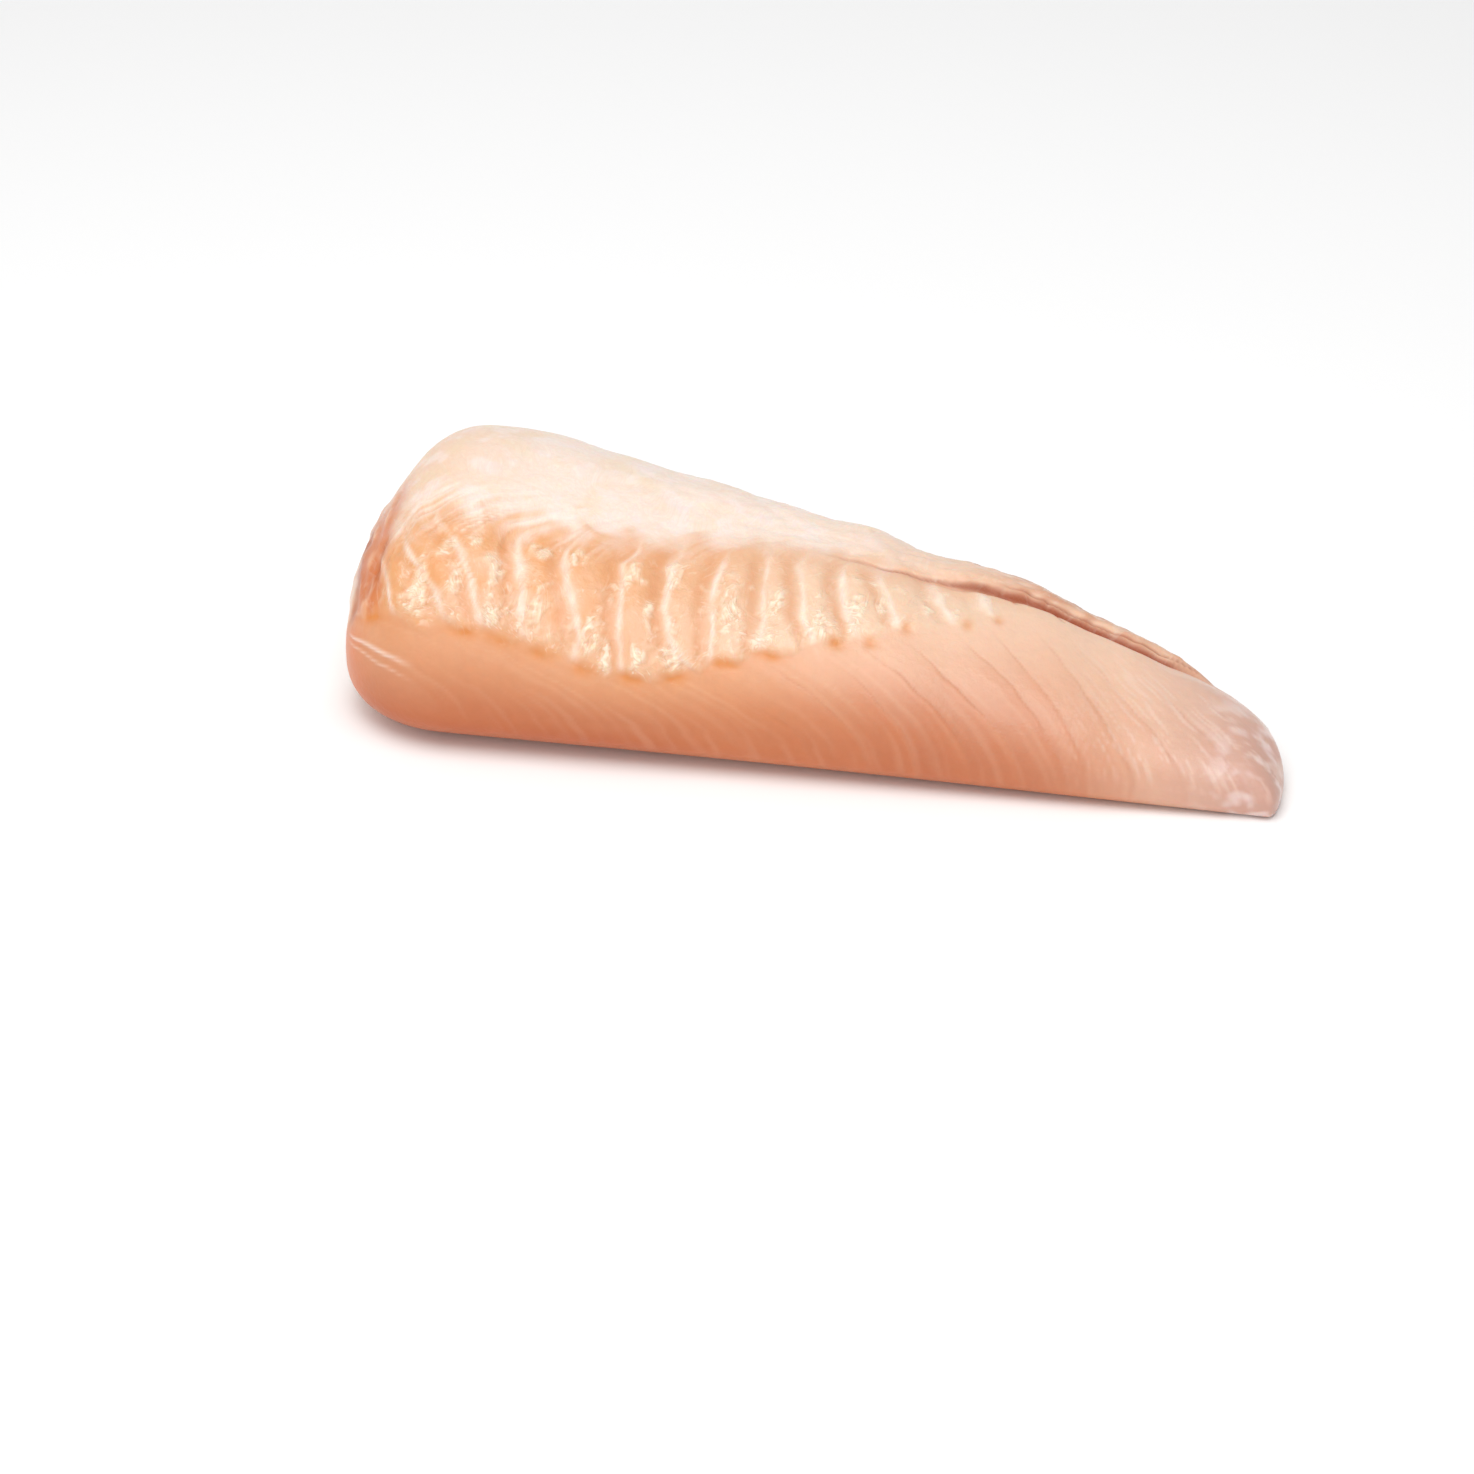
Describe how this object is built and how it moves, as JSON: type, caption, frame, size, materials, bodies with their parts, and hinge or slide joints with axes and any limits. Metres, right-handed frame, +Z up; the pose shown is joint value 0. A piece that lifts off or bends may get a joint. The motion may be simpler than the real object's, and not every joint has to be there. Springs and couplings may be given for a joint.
{
  "type": "cod fillet",
  "caption": "Raw skinless fish fillet in one piece: thick rounded head end, ribbed band along the bone side, folded flap, blunt tail and a flat underside.",
  "frame": {"origin": "middle of the bounding box on the flat underside", "axes": "+X along the fillet from the head end to the tail, +Y away from the ribbed front, +Z up"},
  "size_m": [0.234, 0.1034, 0.0547],
  "materials": {
    "raw_fish": "wet translucent raw fish flesh, pale peach on the flap, golden in the rib band, salmon pink on the loin"
  },
  "bodies": {
    "root": {"cod_fillet": "raw_fish"}
  },
  "joints": []
}
